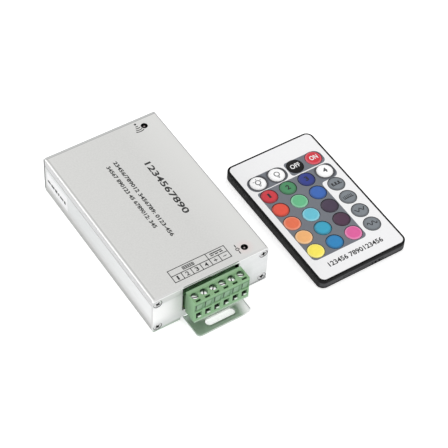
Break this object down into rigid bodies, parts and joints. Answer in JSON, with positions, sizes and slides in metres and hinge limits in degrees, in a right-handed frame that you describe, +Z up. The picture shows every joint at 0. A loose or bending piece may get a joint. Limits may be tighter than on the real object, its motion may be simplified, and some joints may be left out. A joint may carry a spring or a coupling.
{
  "type": "led strip controller with remote",
  "caption": "Flat aluminium led strip controller with slotted mounting feet and a pluggable screw terminal, and its thin card-shaped remote with round coloured keys.",
  "frame": {"origin": "middle of the underside of the controller's case, on the surface that it lies on", "axes": "+Z up, -Y out of the end with the terminal, +X to the right seen from that end, towards the remote"},
  "size_m": [0.1339, 0.1383, 0.0233],
  "materials": {
    "case_aluminium": "satin anodised extrusion",
    "plate_aluminium": "satin anodised sheet",
    "screw_steel": "nickel-plated steel",
    "board": "green solder mask",
    "terminal_green": "moulded plastic, slightly glossy",
    "tinned_brass": "tinned",
    "contact_brass": "plain",
    "clamp_steel": "zinc-plated",
    "led_resin": "diffused resin",
    "package_black": "moulded epoxy",
    "capacitor_sleeve": "shrunk sleeve",
    "ir_resin": "dark filter resin",
    "remote_black": "fine moulded grain",
    "overlay_white": "printed sheet, satin",
    "emitter_resin": "clear resin",
    "cell_steel": "nickel-plated steel",
    "key_white": "smooth silicone rubber",
    "key_black": "smooth silicone rubber",
    "key_signal_red": "smooth silicone rubber",
    "key_grey": "smooth silicone rubber",
    "key_red": "smooth silicone rubber",
    "key_green": "smooth silicone rubber",
    "key_navy": "smooth silicone rubber",
    "key_orange_red": "smooth silicone rubber",
    "key_light_green": "smooth silicone rubber",
    "key_blue": "smooth silicone rubber",
    "key_orange": "smooth silicone rubber",
    "key_sky": "smooth silicone rubber",
    "key_dark_purple": "smooth silicone rubber",
    "key_peach": "smooth silicone rubber",
    "key_teal": "smooth silicone rubber",
    "key_plum": "smooth silicone rubber",
    "key_yellow": "smooth silicone rubber",
    "key_azure": "smooth silicone rubber",
    "key_pink": "smooth silicone rubber"
  },
  "bodies": {
    "controller": {"case_sleeve": "case_aluminium", "front_end_plate": "plate_aluminium", "rear_end_plate": "plate_aluminium", "end_plate_screws": "screw_steel", "circuit_board": "board", "terminal_header": "terminal_green", "header_pins": "tinned_brass", "indicator_leds": "led_resin", "mosfets": "package_black", "capacitors": "capacitor_sleeve", "control_chips": "package_black", "voltage_regulator": "package_black", "ir_receiver": "ir_resin"},
    "plug": {"plug_body": "terminal_green", "plug_contacts": "contact_brass"},
    "terminal_screw_1": {"terminal_screw_1": "screw_steel"},
    "wire_clamp_1": {"wire_clamp_1": "clamp_steel"},
    "terminal_screw_2": {"terminal_screw_2": "screw_steel"},
    "wire_clamp_2": {"wire_clamp_2": "clamp_steel"},
    "terminal_screw_3": {"terminal_screw_3": "screw_steel"},
    "wire_clamp_3": {"wire_clamp_3": "clamp_steel"},
    "terminal_screw_4": {"terminal_screw_4": "screw_steel"},
    "wire_clamp_4": {"wire_clamp_4": "clamp_steel"},
    "terminal_screw_5": {"terminal_screw_5": "screw_steel"},
    "wire_clamp_5": {"wire_clamp_5": "clamp_steel"},
    "terminal_screw_6": {"terminal_screw_6": "screw_steel"},
    "wire_clamp_6": {"wire_clamp_6": "clamp_steel"},
    "remote": {"remote_base": "remote_black", "remote_top_case": "remote_black", "remote_overlay": "overlay_white", "remote_board": "board", "remote_chip": "package_black", "ir_emitter": "emitter_resin", "battery_contacts": "contact_brass"},
    "tray": {"battery_tray": "remote_black", "coin_cell": "cell_steel"},
    "key_brighter": {"key_brighter": "key_white"},
    "key_dimmer": {"key_dimmer": "key_white"},
    "key_off": {"key_off": "key_black"},
    "key_on": {"key_on": "key_signal_red"},
    "key_red": {"key_red": "key_red"},
    "key_green": {"key_green": "key_green"},
    "key_navy": {"key_navy": "key_navy"},
    "key_white": {"key_white": "key_white"},
    "key_orange_red": {"key_orange_red": "key_orange_red"},
    "key_light_green": {"key_light_green": "key_light_green"},
    "key_blue": {"key_blue": "key_blue"},
    "key_mode_1": {"key_mode_1": "key_grey"},
    "key_orange": {"key_orange": "key_orange"},
    "key_sky": {"key_sky": "key_sky"},
    "key_dark_purple": {"key_dark_purple": "key_dark_purple"},
    "key_mode_2": {"key_mode_2": "key_grey"},
    "key_peach": {"key_peach": "key_peach"},
    "key_teal": {"key_teal": "key_teal"},
    "key_plum": {"key_plum": "key_plum"},
    "key_mode_3": {"key_mode_3": "key_grey"},
    "key_yellow": {"key_yellow": "key_yellow"},
    "key_azure": {"key_azure": "key_azure"},
    "key_pink": {"key_pink": "key_pink"},
    "key_mode_4": {"key_mode_4": "key_grey"}
  },
  "joints": [
    {"name": "plug_slide", "type": "slide", "parent": "controller", "child": "plug", "axis": [0, -1, 0], "range_m": [0, 0.012]},
    {"name": "screw_turn_1", "type": "hinge", "parent": "plug", "child": "terminal_screw_1", "pos_m": [-0.0127, -0.0572, 0.0184], "axis": [0, 0, -1], "range_deg": [0, 1710.5]},
    {"name": "clamp_rise_1", "type": "slide", "parent": "plug", "child": "wire_clamp_1", "axis": [0, 0, 1], "range_m": [0, 0.00237]},
    {"name": "screw_turn_2", "type": "hinge", "parent": "plug", "child": "terminal_screw_2", "pos_m": [-0.00762, -0.0572, 0.0184], "axis": [0, 0, -1], "range_deg": [0, 1710.5]},
    {"name": "clamp_rise_2", "type": "slide", "parent": "plug", "child": "wire_clamp_2", "axis": [0, 0, 1], "range_m": [0, 0.00237]},
    {"name": "screw_turn_3", "type": "hinge", "parent": "plug", "child": "terminal_screw_3", "pos_m": [-0.00254, -0.0572, 0.0184], "axis": [0, 0, -1], "range_deg": [0, 1710.5]},
    {"name": "clamp_rise_3", "type": "slide", "parent": "plug", "child": "wire_clamp_3", "axis": [0, 0, 1], "range_m": [0, 0.00237]},
    {"name": "screw_turn_4", "type": "hinge", "parent": "plug", "child": "terminal_screw_4", "pos_m": [0.00254, -0.0572, 0.0184], "axis": [0, 0, -1], "range_deg": [0, 1710.5]},
    {"name": "clamp_rise_4", "type": "slide", "parent": "plug", "child": "wire_clamp_4", "axis": [0, 0, 1], "range_m": [0, 0.00237]},
    {"name": "screw_turn_5", "type": "hinge", "parent": "plug", "child": "terminal_screw_5", "pos_m": [0.00762, -0.0572, 0.0184], "axis": [0, 0, -1], "range_deg": [0, 1710.5]},
    {"name": "clamp_rise_5", "type": "slide", "parent": "plug", "child": "wire_clamp_5", "axis": [0, 0, 1], "range_m": [0, 0.00237]},
    {"name": "screw_turn_6", "type": "hinge", "parent": "plug", "child": "terminal_screw_6", "pos_m": [0.0127, -0.0572, 0.0184], "axis": [0, 0, -1], "range_deg": [0, 1710.5]},
    {"name": "clamp_rise_6", "type": "slide", "parent": "plug", "child": "wire_clamp_6", "axis": [0, 0, 1], "range_m": [0, 0.00237]},
    {"name": "remote_lift", "type": "slide", "parent": "controller", "child": "remote", "axis": [0, 0, 1], "range_m": [0, 0.06]},
    {"name": "tray_slide", "type": "slide", "parent": "remote", "child": "tray", "axis": [0, -1, 0], "range_m": [0, 0.026]},
    {"name": "press_brighter", "type": "slide", "parent": "remote", "child": "key_brighter", "axis": [0, 0, -1], "range_m": [0, 0.0003], "stiffness_N_per_m": 2000},
    {"name": "press_dimmer", "type": "slide", "parent": "remote", "child": "key_dimmer", "axis": [0, 0, -1], "range_m": [0, 0.0003], "stiffness_N_per_m": 2000},
    {"name": "press_off", "type": "slide", "parent": "remote", "child": "key_off", "axis": [0, 0, -1], "range_m": [0, 0.0003], "stiffness_N_per_m": 2000},
    {"name": "press_on", "type": "slide", "parent": "remote", "child": "key_on", "axis": [0, 0, -1], "range_m": [0, 0.0003], "stiffness_N_per_m": 2000},
    {"name": "press_red", "type": "slide", "parent": "remote", "child": "key_red", "axis": [0, 0, -1], "range_m": [0, 0.0003], "stiffness_N_per_m": 2000},
    {"name": "press_green", "type": "slide", "parent": "remote", "child": "key_green", "axis": [0, 0, -1], "range_m": [0, 0.0003], "stiffness_N_per_m": 2000},
    {"name": "press_navy", "type": "slide", "parent": "remote", "child": "key_navy", "axis": [0, 0, -1], "range_m": [0, 0.0003], "stiffness_N_per_m": 2000},
    {"name": "press_white", "type": "slide", "parent": "remote", "child": "key_white", "axis": [0, 0, -1], "range_m": [0, 0.0003], "stiffness_N_per_m": 2000},
    {"name": "press_orange_red", "type": "slide", "parent": "remote", "child": "key_orange_red", "axis": [0, 0, -1], "range_m": [0, 0.0003], "stiffness_N_per_m": 2000},
    {"name": "press_light_green", "type": "slide", "parent": "remote", "child": "key_light_green", "axis": [0, 0, -1], "range_m": [0, 0.0003], "stiffness_N_per_m": 2000},
    {"name": "press_blue", "type": "slide", "parent": "remote", "child": "key_blue", "axis": [0, 0, -1], "range_m": [0, 0.0003], "stiffness_N_per_m": 2000},
    {"name": "press_mode_1", "type": "slide", "parent": "remote", "child": "key_mode_1", "axis": [0, 0, -1], "range_m": [0, 0.0003], "stiffness_N_per_m": 2000},
    {"name": "press_orange", "type": "slide", "parent": "remote", "child": "key_orange", "axis": [0, 0, -1], "range_m": [0, 0.0003], "stiffness_N_per_m": 2000},
    {"name": "press_sky", "type": "slide", "parent": "remote", "child": "key_sky", "axis": [0, 0, -1], "range_m": [0, 0.0003], "stiffness_N_per_m": 2000},
    {"name": "press_dark_purple", "type": "slide", "parent": "remote", "child": "key_dark_purple", "axis": [0, 0, -1], "range_m": [0, 0.0003], "stiffness_N_per_m": 2000},
    {"name": "press_mode_2", "type": "slide", "parent": "remote", "child": "key_mode_2", "axis": [0, 0, -1], "range_m": [0, 0.0003], "stiffness_N_per_m": 2000},
    {"name": "press_peach", "type": "slide", "parent": "remote", "child": "key_peach", "axis": [0, 0, -1], "range_m": [0, 0.0003], "stiffness_N_per_m": 2000},
    {"name": "press_teal", "type": "slide", "parent": "remote", "child": "key_teal", "axis": [0, 0, -1], "range_m": [0, 0.0003], "stiffness_N_per_m": 2000},
    {"name": "press_plum", "type": "slide", "parent": "remote", "child": "key_plum", "axis": [0, 0, -1], "range_m": [0, 0.0003], "stiffness_N_per_m": 2000},
    {"name": "press_mode_3", "type": "slide", "parent": "remote", "child": "key_mode_3", "axis": [0, 0, -1], "range_m": [0, 0.0003], "stiffness_N_per_m": 2000},
    {"name": "press_yellow", "type": "slide", "parent": "remote", "child": "key_yellow", "axis": [0, 0, -1], "range_m": [0, 0.0003], "stiffness_N_per_m": 2000},
    {"name": "press_azure", "type": "slide", "parent": "remote", "child": "key_azure", "axis": [0, 0, -1], "range_m": [0, 0.0003], "stiffness_N_per_m": 2000},
    {"name": "press_pink", "type": "slide", "parent": "remote", "child": "key_pink", "axis": [0, 0, -1], "range_m": [0, 0.0003], "stiffness_N_per_m": 2000},
    {"name": "press_mode_4", "type": "slide", "parent": "remote", "child": "key_mode_4", "axis": [0, 0, -1], "range_m": [0, 0.0003], "stiffness_N_per_m": 2000}
  ],
  "couplings": [
    {"joint": "screw_turn_1", "follows": "clamp_rise_1", "rad_per_m": 12566},
    {"joint": "screw_turn_2", "follows": "clamp_rise_2", "rad_per_m": 12566},
    {"joint": "screw_turn_3", "follows": "clamp_rise_3", "rad_per_m": 12566},
    {"joint": "screw_turn_4", "follows": "clamp_rise_4", "rad_per_m": 12566},
    {"joint": "screw_turn_5", "follows": "clamp_rise_5", "rad_per_m": 12566},
    {"joint": "screw_turn_6", "follows": "clamp_rise_6", "rad_per_m": 12566}
  ]
}
